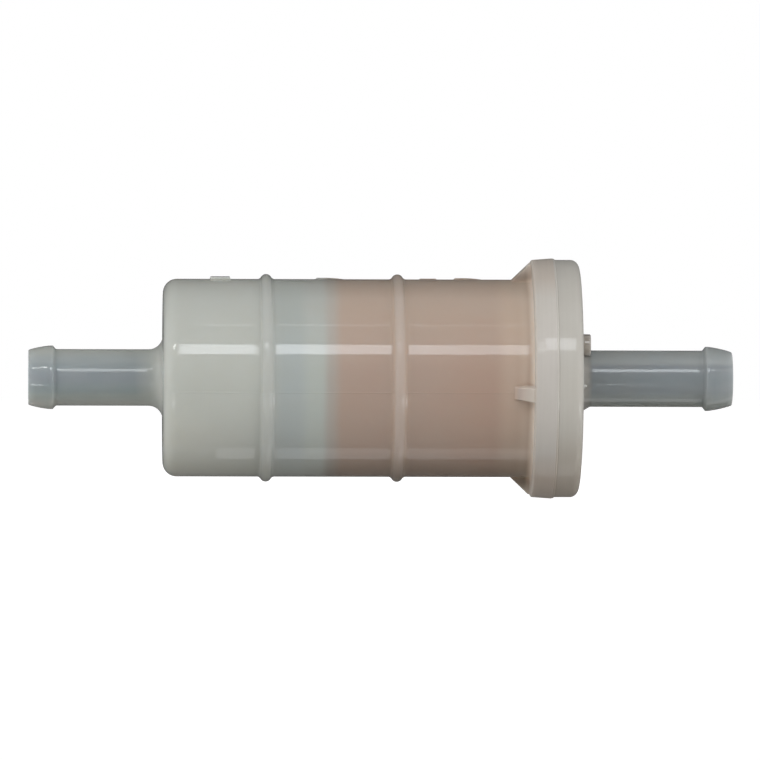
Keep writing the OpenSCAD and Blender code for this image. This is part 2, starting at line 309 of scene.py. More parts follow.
def turned_mesh(rings, radii, turns):
    """Vertices and faces of a closed outline turned about X. radii has a row per ring."""
    turn = np.radians(turns)
    across = -np.sin(turn)[None, :] * radii
    upward = np.cos(turn)[None, :] * radii
    along = np.repeat(np.array(rings)[:, None], len(turns), axis=1)
    points = np.stack([along, across, upward], axis=2).reshape(-1, 3) * MM
    row, column = np.meshgrid(np.arange(len(rings)), np.arange(len(turns)), indexing="ij")
    next_row = (row + 1) % len(rings)
    next_column = (column + 1) % len(turns)
    wide = len(turns)
    corners = [
        row * wide + column,
        row * wide + next_column,
        next_row * wide + next_column,
        next_row * wide + column,
    ]
    return points, np.stack(corners, axis=2).reshape(-1, 4)


def make_piece(name, parts):
    """A mesh object from one or more closed parts, smooth but for its sharp edges."""
    points = np.concatenate([p for p, _ in parts])
    starts = np.cumsum([0] + [len(p) for p, _ in parts[:-1]])
    faces = np.concatenate([f + s for (_, f), s in zip(parts, starts)])
    mesh = bpy.data.meshes.new(name)
    mesh.from_pydata(points.tolist(), [], faces.tolist())
    mesh.validate()
    mesh.polygons.foreach_set("use_smooth", [True] * len(mesh.polygons))
    mesh.set_sharp_from_angle(angle=math.radians(SHARP))
    piece = bpy.data.objects.new(name, mesh)
    bpy.context.scene.collection.objects.link(piece)
    return piece


def plain_turned(outline, turns=None):
    """A closed outline of [x, radius] points, turned with no relief."""
    turns = np.arange(0, 360, COLUMN_STEP) if turns is None else turns
    radii = np.repeat(np.array([r for _, r in outline])[:, None], len(turns), axis=1)
    return turned_mesh([x for x, _ in outline], radii, turns)


def bowl_mesh():
    """The barrel, inlet nipple and flange, with their relief, and the inside wall."""
    turns = columns()
    end_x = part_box("inlet_bowl")[1].x / MM
    end_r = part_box("inlet_bowl")[1].z / MM
    rings, radii = [], []

    def add(x, r):
        rings.append(x)
        radii.append(np.broadcast_to(r, turns.shape))

    # The inlet nipple, and the bowl's end round it.
    nipple = barb(INLET_TIP_R, INLET_CREST_R, INLET_LEAD)
    for x, r in nipple:
        add(x, r)
    fillet_x = BOWL_X - INLET_FILLET_R
    fillet_top_r = NIPPLE_R + INLET_FILLET_R
    for x in spaced(nipple[-1][0] + 0.5, fillet_x, 0.8):
        add(x, NIPPLE_R)
    for x, r in arc(fillet_x, fillet_top_r, INLET_FILLET_R, -90, 0, 12):
        add(x, r)
    for r in spaced(fillet_top_r + 0.5, BARREL_R - BOWL_CORNER_R, 0.8):
        add(BOWL_X, r)

    # The barrel, with its bands and everything that stands on it.
    corner_x = BOWL_X + BOWL_CORNER_R
    corner = arc(corner_x, BARREL_R - BOWL_CORNER_R, BOWL_CORNER_R, 180, 90, 14)
    for x, r in corner[:-1]:
        add(x, r + parting_line(turns, r) * (x - BOWL_X) / BOWL_CORNER_R)
    barrel = [(x, BARREL_R) for x in barrel_stations()]
    barrel += band(BAND_XS[0]) + band(BAND_XS[1])
    for x, r in sorted(barrel):
        relief = np.maximum(marks(x, turns), parting_line(turns, BARREL_R))
        add(x, r + np.maximum(relief, gussets(x, turns)))

    # The fillet up to the flange, and the flange's back and rim.
    line = parting_line(turns, BARREL_R)
    foot_r = BARREL_R + np.maximum(gussets(FLANGE_X, turns), line)
    edge_r = FLANGE_BACK_R - FLANGE_EDGE_R
    lift = np.minimum(FLANGE_FILLET_R, edge_r - foot_r)
    for across, up in arc(0, 1, 1, -90, 0, 6):
        x = FLANGE_X - FLANGE_FILLET_R * (1 - across)
        add(x, BARREL_R + np.maximum(gussets(x, turns), line) + lift * up)
    for share in (0.25, 0.5, 0.75):
        add(FLANGE_X, foot_r + lift + (edge_r - foot_r - lift) * share)
    for x, r in arc(FLANGE_X + FLANGE_EDGE_R, edge_r, FLANGE_EDGE_R, 180, 90, 6):
        add(x, r)
    rim = ((SEAT_X, FLANGE_MIDDLE_R), (end_x - 0.04, end_r - 0.005), (end_x, end_r - 0.03))
    for x, r in rim:
        add(x, r)

    # The mouth that takes the cap, and the inside, back to the inlet.
    mouth = ((end_x, JOINT_R), (end_x, MOUTH_R), (SEAT_X, MOUTH_R), (SEAT_X, BARREL_IN_R))
    for x, r in mouth:
        add(x, r)
    inside_x = BOWL_X + BOWL_FLOOR
    for x in spaced(SEAT_X - 1, inside_x + 1.2, 2.0):
        add(x, BARREL_IN_R)
    corner_r = BARREL_IN_R - CHAMBER_CORNER_R
    for x, r in arc(inside_x + CHAMBER_CORNER_R, corner_r, CHAMBER_CORNER_R, 90, 180, 8):
        add(x, r)
    bore_mouth = ((inside_x, BORE_R + BORE_CHAMFER), (inside_x - BORE_CHAMFER, BORE_R))
    for x, r in ((inside_x, 8), (inside_x, 5), *bore_mouth):
        add(x, r)
    for x in spaced(inside_x - 1, 0.2, 1.5):
        add(x, BORE_R)
    add(BORE_EDGE, BORE_R)
    add(0, BORE_R + BORE_EDGE)
    return turned_mesh(rings, np.array(radii), turns)


def cap_mesh():
    """The cap, its outlet nipple, and its spigot inside the filter."""
    spigot_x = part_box("outlet_cap")[0].x / MM
    end_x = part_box("outlet_cap")[1].x / MM
    back_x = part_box("weld_bead")[1].x / MM
    outline = [(spigot_x, BORE_R), (spigot_x, SPIGOT_R - SPIGOT_CHAMFER)]
    outline += [(spigot_x + SPIGOT_CHAMFER, SPIGOT_R)]
    outline += [(CAP_WEB_X, SPIGOT_R), (CAP_WEB_X, REGISTER_IN_R)]
    outline += [(PLATE_BACK_X, REGISTER_IN_R), (PLATE_BACK_X, REGISTER_R)]
    outline += [(back_x, REGISTER_R), (back_x, JOINT_R)]
    outline += [(back_x, CAP_R - 0.04), (back_x + 0.06, CAP_R)]
    corner_x = CAP_FACE_X - CAP_CORNER_R
    outline += arc(corner_x, CAP_R - CAP_CORNER_R, CAP_CORNER_R, 90, 0, 12)
    fillet_r = ROOT_R + ROOT_FILLET_R
    for r in spaced(CAP_R - CAP_CORNER_R - 0.5, fillet_r, 1.0):
        outline.append((CAP_FACE_X, r))
    outline += arc(CAP_FACE_X + ROOT_FILLET_R, fillet_r, ROOT_FILLET_R, 180, 250, 4)
    root_x = CAP_FACE_X + ROOT_LEN
    outline += [(root_x, NIPPLE_R + 0.03), (root_x + 0.2, NIPPLE_R)]
    tip = barb(OUTLET_TIP_R, OUTLET_CREST_R, OUTLET_LEAD)
    for x in spaced(root_x + 1, end_x - tip[-1][0] - 0.5, 1.0):
        outline.append((x, NIPPLE_R))
    outline += [(end_x - x, r) for x, r in reversed(tip)]
    outline += [(end_x, BORE_R + BORE_EDGE), (end_x - BORE_EDGE, BORE_R)]
    for x in spaced(end_x - 1, spigot_x + 1, 2.0):
        outline.append((x, BORE_R))
    return plain_turned(outline)


def gate_mesh():
    """The stub that the moulding gate left on the cap, with a torn end."""
    end_r = GATE_R - 0.04
    edge_x = GATE_H - GATE_EDGE_R
    outline = [(-GATE_SUNK, 0.02), (-GATE_SUNK, GATE_R), (0, GATE_R), (edge_x, end_r)]
    outline += arc(edge_x, end_r - GATE_EDGE_R, GATE_EDGE_R, 90, 0, 5)
    outline += [(GATE_H - 0.06, 0.8), (GATE_H - 0.14, 0.45), (GATE_H - 0.05, 0.02)]
    outline = [(CAP_FACE_X + x, r) for x, r in outline]
    points, faces = plain_turned(outline, np.arange(0, 360, 10.0))
    points[:, 1] -= GATE_OFFSET * MM * math.sin(math.radians(GATE_TURN))
    points[:, 2] += GATE_OFFSET * MM * math.cos(math.radians(GATE_TURN))
    return points, faces


def weld_mesh():
    """The weld, a thin bead whose lip wanders a little."""
    low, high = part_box("weld_bead")
    x0, x1, lip = low.x / MM, high.x / MM, high.z / MM
    turns = np.arange(0, 360, 1.5)
    wander = np.zeros_like(turns)
    for waves, height, phase in WELD_WANDER:
        wander += height * np.sin(np.radians(turns) * waves + phase)
    middle = (x0 + x1) / 2
    outline = [(x0, WELD_IN_R), (x0, WELD_LIP_FOOT_R), (x0, lip - 0.05)]
    outline += [(x0 + 0.04, lip - 0.032), (middle, lip - 0.03), (x1 - 0.1, lip - 0.05)]
    outline += [(x1, lip - 0.1), (x1, WELD_LIP_FOOT_R), (x1, WELD_IN_R)]
    radii = np.array([r + wander * (r > WELD_LIP_FOOT_R) for _, r in outline])
    return turned_mesh([x for x, _ in outline], radii, turns)


# ---------------------------------------------------------------- materials


class Paint:
    """A material with one Principled shader, and short ways to wire its nodes."""

    def __init__(self, name):
        self.material = bpy.data.materials.new(name)
        self.material.use_nodes = True
        self.nodes = self.material.node_tree.nodes
        self.links = self.material.node_tree.links
        self.shader = self.nodes["Principled BSDF"]
        self.place = self.nodes.new("ShaderNodeTexCoord").outputs["Object"]

    def set(self, **values):
        for key, value in values.items():
            self.shader.inputs[key.replace("_", " ")].default_value = value

    def wire(self, output, socket):
        self.links.new(output, self.shader.inputs[socket])

    def noise(self, scale, detail=3, rough=0.55, stretch=(1, 1, 1)):
        """Noise from 0 to 1, with scale in bumps per metre."""
        mapping = self.nodes.new("ShaderNodeMapping")
        mapping.inputs["Scale"].default_value = stretch
        self.links.new(self.place, mapping.inputs["Vector"])
        texture = self.nodes.new("ShaderNodeTexNoise")
        texture.inputs["Scale"].default_value = scale
        texture.inputs["Detail"].default_value = detail
        texture.inputs["Roughness"].default_value = rough
        self.links.new(mapping.outputs["Vector"], texture.inputs["Vector"])
        return texture.outputs["Fac"]

    def span(self, value, from_low, from_high, to_low, to_high):
        """Brings a value from one range to another, and holds it there."""
        node = self.nodes.new("ShaderNodeMapRange")
        ends = {"From Min": from_low, "From Max": from_high, "To Min": to_low, "To Max": to_high}
        for key, number in ends.items():
            node.inputs[key].default_value = number
        self.links.new(value, node.inputs["Value"])
        return node.outputs["Result"]

    def over(self, length, low, high, to_low=0, to_high=1):
        """From to_low to to_high while a length goes from low to high millimetres."""
        return self.span(length, low * MM, high * MM, to_low, to_high)

    def fit(self, noise, low, high):
        """Noise brought from its usual range to low and high."""
        return self.span(noise, 0.3, 0.7, low, high)

    def add(self, first, second):
        node = self.nodes.new("ShaderNodeMath")
        node.operation = "ADD"
        self.links.new(first, node.inputs[0])
        self.links.new(second, node.inputs[1])
        return node.outputs[0]

    def mix(self, share, first, second, kind="MIX"):
        """A colour mix; each input is an output socket, a colour or a number."""
        node = self.nodes.new("ShaderNodeMix")
        node.data_type = "RGBA"
        node.blend_type = kind
        given = ((node.inputs[0], share), (node.inputs[6], first), (node.inputs[7], second))
        for socket, value in given:
            if isinstance(value, bpy.types.NodeSocket):
                self.links.new(value, socket)
            else:
                socket.default_value = value
        return node.outputs[2]

    def bump(self, *layers):
        """Bump from (height output, metres) pairs, one on top of the other."""
        normal = None
        for height, distance in layers:
            node = self.nodes.new("ShaderNodeBump")
            node.inputs["Distance"].default_value = distance
            self.links.new(height, node.inputs["Height"])
            if normal is not None:
                self.links.new(normal, node.inputs["Normal"])
            normal = node.outputs["Normal"]
        self.wire(normal, "Normal")

    def streaks(self, scale):
        """Noise in fine lines round the axis, with scale in lines per metre."""
        return self.noise(scale, 2, 0.6, (1, 0.03, 0.03))

    def streaked(self, colour):
        """A colour with faint darker lines round the axis."""
        lines = self.span(self.streaks(1800), 0.35, 0.65, 0, 0.07)
        return self.mix(lines, colour, STREAK_TINT)

    def axial(self):
        """(distance along X, distance from the axis, height over it), in metres."""
        split = self.nodes.new("ShaderNodeSeparateXYZ")
        self.links.new(self.place, split.inputs[0])
        join = self.nodes.new("ShaderNodeCombineXYZ")
        self.links.new(split.outputs["Y"], join.inputs["Y"])
        self.links.new(split.outputs["Z"], join.inputs["Z"])
        length = self.nodes.new("ShaderNodeVectorMath")
        length.operation = "LENGTH"
        self.links.new(join.outputs[0], length.inputs[0])
        return split.outputs["X"], length.outputs["Value"], split.outputs["Z"]

    def along(self, value, stops):
        """A colour that follows a value in metres. stops are (millimetres, colour) pairs."""
        first, last = stops[0][0], stops[-1][0]
        node = self.nodes.new("ShaderNodeValToRGB")
        node.color_ramp.interpolation = "EASE"
        elements = node.color_ramp.elements
        while len(elements) > 1:
            elements.remove(elements[-1])
        elements[0].position = 0
        elements[0].color = stops[0][1]
        for at, colour in stops[1:]:
            elements.new((at - first) / (last - first)).color = colour
        self.links.new(self.over(value, first, last), node.inputs["Fac"])
        return node.outputs["Color"]


def rgb(red, green, blue):
    """A linear colour from 0 to 255 display values."""
    def linear(value):
        c = value / 255
        return c / 12.92 if c <= 0.04045 else ((c + 0.055) / 1.055) ** 2.4
    return (linear(red), linear(green), linear(blue), 1.0)


def grey(value):
    """The same value in each channel, for a socket that takes one number."""
    return (value, value, value, 1.0)


# The bowl's tints along X, by what stands behind the wall, round the middle of its side.
SIDE = {
    "chamber": rgb(205, 208, 202),
    "skirt": rgb(188, 195, 194),
    "cup": rgb(196, 202, 197),
    "fuzz": rgb(189, 182, 175),
    "pink": rgb(191, 170, 157),
    "deep": rgb(192, 167, 152),
    # Painted light: paler beside the second band and before the flange, where their shade falls.
    "near": rgb(205, 184, 168),
    # Partly the white plate behind the wall, partly painted light in the crease by the flange.
    "root": rgb(238, 225, 211),
    "flange": rgb(210, 205, 199),
}
# Painted light: the same tints, lighter on its upper side, where light from above falls.
UPPER_PAINTED_LIGHT = {
    "chamber": rgb(205, 208, 202),
    "skirt": rgb(190, 196, 192),
    "cup": rgb(198, 201, 196),
    "fuzz": rgb(197, 191, 183),
    "pink": rgb(201, 181, 166),
    "deep": rgb(201, 181, 166),
    "near": rgb(209, 189, 172),
    "root": rgb(238, 225, 211),
    "flange": rgb(214, 209, 202),
}
# Painted shade: what is left of each tint at the very top and bottom, where the wall is seen edge
# on.
PINK_PAINTED_SHADE = (0.54, 0.51, 0.46, 1)
CREAM_PAINTED_SHADE = (0.88, 0.80, 0.74, 1)
EDGE_SHADE_PAINTED = {
    "chamber": (0.87, 0.86, 0.82, 1),
    "skirt": (0.88, 0.86, 0.80, 1),
    "cup": (0.72, 0.69, 0.66, 1),
    "fuzz": PINK_PAINTED_SHADE,
    "pink": PINK_PAINTED_SHADE,
    "deep": PINK_PAINTED_SHADE,
    "near": PINK_PAINTED_SHADE,
    "root": CREAM_PAINTED_SHADE,
    "flange": CREAM_PAINTED_SHADE,
}

BAND_TINT = rgb(181, 184, 183)
BAND_PINK = rgb(184, 178, 178)
LOW_END_PAINTED_GLOW = rgb(238, 238, 228)
RIB = rgb(215, 207, 197)
STREAK_TINT = rgb(160, 155, 148)
CAP_CREAM = rgb(191, 188, 181)
BORE = rgb(120, 140, 156)
ROOT_TINT = rgb(155, 153, 148)
GATE_TINT = rgb(156, 150, 143)
TIP_TINT = rgb(190, 198, 202)
YELLOWED = rgb(190, 186, 172)
CAP_YELLOWED = rgb(186, 178, 162)
# Tints of the two nipples by height over the axis, in millimetres, with painted light and shade:
# lighter towards the top and bottom, darker and bluer through the middle.
INLET_TINT_AND_SHADE = (
    (-4, rgb(203, 205, 199)),
    (-2.7, rgb(175, 183, 180)),
    (-1.8, rgb(160, 171, 173)),
    (0, rgb(157, 165, 171)),
    (1.6, rgb(157, 167, 171)),
    (2.4, rgb(168, 176, 178)),
    (4, rgb(182, 187, 182)),
)
OUTLET_TINT_AND_SHADE = (
    (-4, rgb(157, 163, 159)),
    (-2.7, rgb(157, 165, 166)),
    (-1.8, rgb(149, 157, 162)),
    (0, rgb(142, 151, 156)),
    (1.6, rgb(143, 150, 155)),
    (2.4, rgb(163, 169, 170)),
    (4, rgb(154, 160, 160)),
)

# How far light spreads in the wall, in millimetres for red, green and blue.
NIPPLE_REACH = (5.0, 4.6, 4.4, 1)
BARREL_REACH = (1.7, 1.6, 1.5, 1)
FLANGE_REACH = (0.35, 0.35, 0.35, 1)
# How much of the light goes straight through the wall.
NIPPLE_CLEAR = 0.15
BARREL_CLEAR = 0.15
# Places along X, in millimetres: where the inlet nipple's tints end, where the outlet's tip
# turns paler, and past the outlet, where the ramps along X end.
INLET_TINTS_END = 15
TIP_TINT_FROM, TIP_TINT_TO = 94.0, 95.4
PAST_END = 100


def zones(tints):
    """Stops along X for one set of the bowl's tints."""
    plate_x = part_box("closed_end_plate")[0].x / MM
    paper_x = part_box("closed_end_plate")[1].x / MM
    band_x = BAND_XS[1]
    places = (
        (0, "chamber"), (plate_x - 1.4, "chamber"),
        (plate_x + 1.4, "skirt"), (plate_x + 3.0, "skirt"),
        (plate_x + 5.2, "cup"), (paper_x - 1.6, "cup"),
        (paper_x - 0.2, "fuzz"), (paper_x + 1.6, "pink"),
        (band_x - 1.7, "pink"), (band_x - 0.8, "near"),
        (band_x + 0.8, "near"), (band_x + 1.7, "pink"),
        (FLANGE_X - 6, "deep"), (FLANGE_X - 3.4, "near"), (FLANGE_X - 0.8, "near"),
        (FLANGE_X - 0.15, "root"), (FLANGE_X + 0.05, "root"),
        (FLANGE_X + 0.3, "flange"), (PAST_END, "flange"),
    )
    return [(x, tints[name]) for x, name in places]


def levels(*stops):
    """Stops for a socket that takes one number, from (millimetres, number) pairs."""
    return [(x, grey(value)) for x, value in stops]


def bowl_tint(paint, x, away, height):
    """The bowl's outside: tinted zones, with its ribs and its flange in their own tints, painted
    light on the upper side and in the crease, and painted shade at the top and bottom.
    """
    wandering = paint.add(x, paint.span(paint.noise(90, 2), 0, 1, -0.3 * MM, 0.3 * MM))
    side = paint.along(wandering, zones(SIDE))
    upper = paint.along(wandering, zones(UPPER_PAINTED_LIGHT))
    painted_edge_shade = paint.along(wandering, zones(EDGE_SHADE_PAINTED))
    upward = paint.over(height, 1, 10)
    bottom = paint.over(height, -14, -10.4, 1, 0)
    top = paint.over(height, 11.2, 14.2, 0, 0.65)
    # Painted light: the upper side takes the lighter tints.
    tint = paint.mix(upward, side, upper)

    on_band = paint.over(away, BARREL_R + 0.2, BARREL_R + 0.6, 0, 0.4)
    band_stops = [(0, BAND_TINT), (40, BAND_TINT), (45, BAND_PINK), (PAST_END, BAND_PINK)]
    tint = paint.mix(on_band, tint, paint.along(x, band_stops))

    # Painted light: paler in the crease by the flange, where shade falls, and low down near the
    # bowl's floor.
    crease = levels((0, 0), (FLANGE_X - 2.4, 0), (FLANGE_X - 1.3, 0.25), (FLANGE_X - 0.6, 0.1),
                    (PAST_END, 0.1))
    tint = paint.mix(paint.along(x, crease), tint, SIDE["root"])
    low = paint.over(height, -2, -9, 0, 0.35)
    painted_glow = paint.mix(paint.over(x, 22, 31, 1, 0), grey(0), low)
    tint = paint.mix(painted_glow, tint, LOW_END_PAINTED_GLOW)
    # Painted shade: darker towards the bottom and the top of the barrel.
    tint = paint.mix(bottom, tint, painted_edge_shade, "MULTIPLY")
    tint = paint.mix(top, tint, painted_edge_shade, "MULTIPLY")

    # The flange's cream, with painted light on its upper side and painted shade at the bottom and
    # top.
    flange = paint.streaked(paint.mix(upward, SIDE["flange"], UPPER_PAINTED_LIGHT["flange"]))
    flange = paint.mix(bottom, flange, CREAM_PAINTED_SHADE, "MULTIPLY")
    flange = paint.mix(top, flange, CREAM_PAINTED_SHADE, "MULTIPLY")
    on_gusset = paint.over(away, BARREL_R + 0.8, BARREL_R + 2.0, 0, 0.75)
    on_flange = paint.over(x, FLANGE_X + 0.02, FLANGE_X + 0.25)
    tint = paint.mix(on_flange, paint.mix(on_gusset, tint, RIB), flange)

    on_barrel = paint.over(x, INLET_TINTS_END, BOWL_X - 0.5)
    return paint.mix(on_barrel, paint.along(height, INLET_TINT_AND_SHADE), tint)


def bowl_paint():
    """Milky nylon: the wall's own white, the tints of what stands behind it, and painted light
    and shade.
    """
    paint = Paint("milky_nylon")
    x, away, height = paint.axial()
    lining = paint.over(away, BORE_R + 0.1, BORE_R + 0.3, 1, 0)
    tint = paint.mix(lining, bowl_tint(paint, x, away, height), BORE)
    tint = paint.mix(paint.fit(paint.noise(220, 4), 0, 0.10), tint, YELLOWED)
    paint.wire(tint, "Base Color")
    paint.set(Subsurface_Scale=0.001, IOR=1.5, Specular_IOR_Level=0.15,
              Coat_Roughness=0.018, Coat_IOR=1.5)
    reach = [(0, NIPPLE_REACH), (INLET_TINTS_END, NIPPLE_REACH), (BOWL_X + 1, BARREL_REACH),
             (FLANGE_X - 5, BARREL_REACH), (FLANGE_X - 1.5, FLANGE_REACH),
             (PAST_END, FLANGE_REACH)]
    paint.wire(paint.along(x, reach), "Subsurface Radius")
    milky = levels((0, 1), (FLANGE_X, 1), (FLANGE_X + 1, 0.1), (PAST_END, 0.1))
    paint.wire(paint.along(x, milky), "Subsurface Weight")
    gloss = levels((0, 1), (40, 1), (45, 0.9), (52, 0.85), (64, 0.7), (FLANGE_X - 1.0, 0.72),
                   (FLANGE_X - 0.6, 0.15), (FLANGE_X + 0.3, 0.15), (FLANGE_X + 0.6, 0.5),
                   (PAST_END, 0.5))
    paint.wire(paint.along(x, gloss), "Coat Weight")
    clear = levels((0, NIPPLE_CLEAR), (INLET_TINTS_END, NIPPLE_CLEAR), (BOWL_X, BARREL_CLEAR),
                   (PAST_END, BARREL_CLEAR))
    paint.wire(paint.mix(lining, paint.along(x, clear), grey(0)), "Transmission Weight")
    paint.wire(paint.fit(paint.noise(400, 3), 0.42, 0.52), "Roughness")
    paint.bump((paint.noise(70, 2, 0.4, (0.35, 1, 1)), 0.000006),
               (paint.noise(900, 2), 0.000003))
    return paint.material


def cap_tint(paint, x, away, height):
    """The cap's outside: cream with painted shade towards the bottom, greyer at the nipple's
    root, and bluer along the nipple with painted light and shade by height.
    """
    # Painted shade: the cream darkens towards the bottom.
    cream = paint.mix(paint.over(height, -16, -7, 1, 0), CAP_CREAM, CREAM_PAINTED_SHADE, "MULTIPLY")
    on_nipple = paint.over(x, CAP_FACE_X + 1.3, CAP_FACE_X + 1.9)
    tint = paint.mix(on_nipple, ROOT_TINT, paint.along(height, OUTLET_TINT_AND_SHADE))
    tint = paint.mix(paint.over(x, TIP_TINT_FROM, TIP_TINT_TO, 0, 0.15), tint, TIP_TINT)
    tint = paint.mix(paint.over(away, ROOT_R + 0.05, ROOT_R + 0.15), tint, GATE_TINT)
    up_to_face = paint.over(x, CAP_FACE_X + 0.05, CAP_FACE_X + 0.25, 1, 0)
    beyond_root = paint.over(away, ROOT_R + 0.35, ROOT_R + 1.35)
    return paint.mix(paint.mix(up_to_face, grey(0), beyond_root), tint, paint.streaked(cream))


def cap_paint():
    """Cream nylon with no element behind it, thinner and greyer along the nipple."""
    paint = Paint("cream_nylon")
    x, away, height = paint.axial()
    lining = paint.over(away, BORE_R + 0.1, BORE_R + 0.3, 1, 0)
    tint = paint.mix(lining, cap_tint(paint, x, away, height), BORE)
    tint = paint.mix(paint.fit(paint.noise(160, 4), 0, 0.12), tint, CAP_YELLOWED)
    paint.wire(tint, "Base Color")
    paint.set(Subsurface_Radius=NIPPLE_REACH[:3], Subsurface_Scale=0.001,
              IOR=1.5, Specular_IOR_Level=0.2, Coat_Roughness=0.1, Coat_IOR=1.5)
    clear = levels((0, 0), (CAP_FACE_X, 0), (CAP_FACE_X + 2, NIPPLE_CLEAR),
                   (PAST_END, NIPPLE_CLEAR))
    paint.wire(paint.mix(lining, paint.along(x, clear), grey(0)), "Transmission Weight")
    milky = levels((0, 0.05), (CAP_FACE_X, 0.05), (CAP_FACE_X + 1, 1), (PAST_END, 1))
    paint.wire(paint.along(x, milky), "Subsurface Weight")
    gloss = levels((0, 0.6), (CAP_FACE_X, 0.6), (CAP_FACE_X + 1, 1), (PAST_END, 1))
    paint.wire(paint.along(x, gloss), "Coat Weight")
    paint.wire(paint.fit(paint.noise(500, 3), 0.4, 0.55), "Roughness")
    paint.bump((paint.noise(110, 2, 0.4), 0.00002), (paint.streaks(2600), 0.000012))
    return paint.material


def weld_paint():
    """Nylon that melted and set again: a warmer, glossier line."""
    paint = Paint("weld_nylon")
    cloud = paint.noise(300, 3)
    tint = paint.mix(paint.fit(cloud, 0, 1), rgb(203, 199, 192), rgb(198, 193, 186))
    height = paint.axial()[2]
    # Painted shade: darker towards the bottom.
    tint = paint.mix(paint.over(height, -15, -4, 1, 0), tint, CREAM_PAINTED_SHADE, "MULTIPLY")
    paint.wire(tint, "Base Color")
    paint.set(IOR=1.5, Specular_IOR_Level=0.2, Coat_Weight=0.6, Coat_Roughness=0.1)
    paint.wire(paint.fit(cloud, 0.35, 0.5), "Roughness")
    paint.bump((paint.noise(700, 3), 0.00003))
    return paint.material


def plate_paint():
    """White moulded plastic of the two end plates."""
    paint = Paint("white_plate")
    cloud = paint.noise(240, 3)
    tint = paint.mix(paint.fit(cloud, 0, 1), rgb(216, 221, 219), rgb(202, 208, 205))
    paint.wire(tint, "Base Color")
    paint.wire(paint.fit(cloud, 0.38, 0.5), "Roughness")
    paint.bump((paint.noise(1200, 3), 0.00001))
    return paint.material


def paper_paint():
    """Filter paper: a warm pink felt of short fibres."""
    paint = Paint("filter_paper")
    fibres = paint.noise(2600, 5, 0.7, (0.35, 1, 1))
    cloud = paint.noise(140, 3)
    tint = paint.mix(paint.span(fibres, 0.35, 0.65, 0, 1), rgb(222, 172, 146), rgb(206, 154, 128))
    tint = paint.mix(paint.span(cloud, 0.35, 0.65, 0, 0.3), tint, rgb(214, 176, 156))
    paint.wire(tint, "Base Color")
    paint.wire(paint.fit(fibres, 0.85, 0.97), "Roughness")
    paint.set(Specular_IOR_Level=0.2)
    paint.bump((fibres, 0.00008))
    return paint.material


def adhesive_paint():
    """Cured amber adhesive that holds the paper's ends and its seam."""
    paint = Paint("adhesive")
    cloud = paint.noise(320, 3)
    tint = paint.mix(paint.fit(cloud, 0, 1), rgb(214, 200, 160), rgb(196, 178, 134))
    paint.wire(tint, "Base Color")
    paint.wire(paint.fit(cloud, 0.25, 0.4), "Roughness")
    paint.bump((paint.noise(500, 2), 0.00005))
    return paint.material


def core_paint():
    """Natural moulded plastic of the support core, with the tool's fine drag lines."""
    paint = Paint("core_plastic")
    lines = paint.noise(1400, 2, 0.5, (0.05, 1, 1))
    tint = paint.mix(paint.fit(lines, 0, 1), rgb(208, 206, 198), rgb(194, 191, 182))
    paint.wire(tint, "Base Color")
    paint.wire(paint.fit(lines, 0.4, 0.55), "Roughness")
    paint.bump((lines, 0.00001))
    return paint.material


def rubber_paint():
    """Black fuel-proof rubber of the seal, with a dusty bloom."""
    paint = Paint("seal_rubber")
    bloom = paint.noise(900, 4)
    tint = paint.mix(paint.span(bloom, 0.4, 0.7, 0, 0.5), rgb(38, 38, 40), rgb(72, 72, 72))
    paint.wire(tint, "Base Color")
    paint.wire(paint.fit(bloom, 0.55, 0.75), "Roughness")
    paint.bump((paint.noise(3000, 2), 0.00001))
    return paint.material


def finish_nodes():
    """The pieces inside keep their CAD meshes and get these materials."""
    adhesive = adhesive_paint()
    plate = plate_paint()
    paints = {
        "closed_end_plate": plate,
        "open_end_plate": plate,
        "pleated_paper": paper_paint(),
        "seam_adhesive": adhesive,
        "closed_end_potting": adhesive,
        "open_end_potting": adhesive,
        "support_core": core_paint(),
        "spigot_seal": rubber_paint(),
    }
    for name, paint in paints.items():
        slots = NODES[name].material_slots
        for place in slots:
            place.material = paint
        if not slots:
            NODES[name].data.materials.append(paint)


# ---------------------------------------------------------------- stage, light and camera

CAMERA_X = 0.0088
CAMERA_BACK = 1.28
AIM = Vector((0.0498, 0.0, -0.00027))
ROLL = 0.14
LENS = 428
SENSOR = 36

ROOM_LEVEL = 0.09
LIGHT_FAR = 0.5
FILTER_MIDDLE = 0.05


def add_camera():
    data = bpy.data.cameras.new("camera")
    data.lens = LENS
    data.sensor_width = SENSOR
    data.clip_start = 0.05
    data.clip_end = 50
    camera = bpy.data.objects.new("camera", data)
    bpy.context.scene.collection.objects.link(camera)
    camera.location = Vector((CAMERA_X, -CAMERA_BACK, AIM.z))
    turn = (AIM - camera.location).to_track_quat("-Z", "Y").to_matrix()
    roll = Vector((0, 0, 1))
    spin = turn @ Matrix.Rotation(math.radians(ROLL), 3, roll)
    camera.rotation_euler = spin.to_euler()
    bpy.context.scene.camera = camera


def add_strip(name, rise, start, end, high, radiance, seen_in, far=LIGHT_FAR):
    """A strip light along X from start to end, on the camera's side, facing the filter."""
    e = math.radians(rise)
    way = Vector((0, -math.cos(e), math.sin(e)))
    light = add_area(name, way, (start + end) / 2, end - start, high, radiance, far)
    light.visible_diffuse = seen_in == "shade"
    light.visible_glossy = seen_in == "gloss"
    return light


def add_panel(name, azimuth, rise, wide, high, radiance):
    """A panel that faces the filter's middle. Azimuth 0 is on the camera's side."""
    a, e = math.radians(azimuth), math.radians(rise)
    way = Vector((math.sin(a) * math.cos(e), -math.cos(a) * math.cos(e), math.sin(e)))
    return add_area(name, way, FILTER_MIDDLE, wide, high, radiance, LIGHT_FAR)


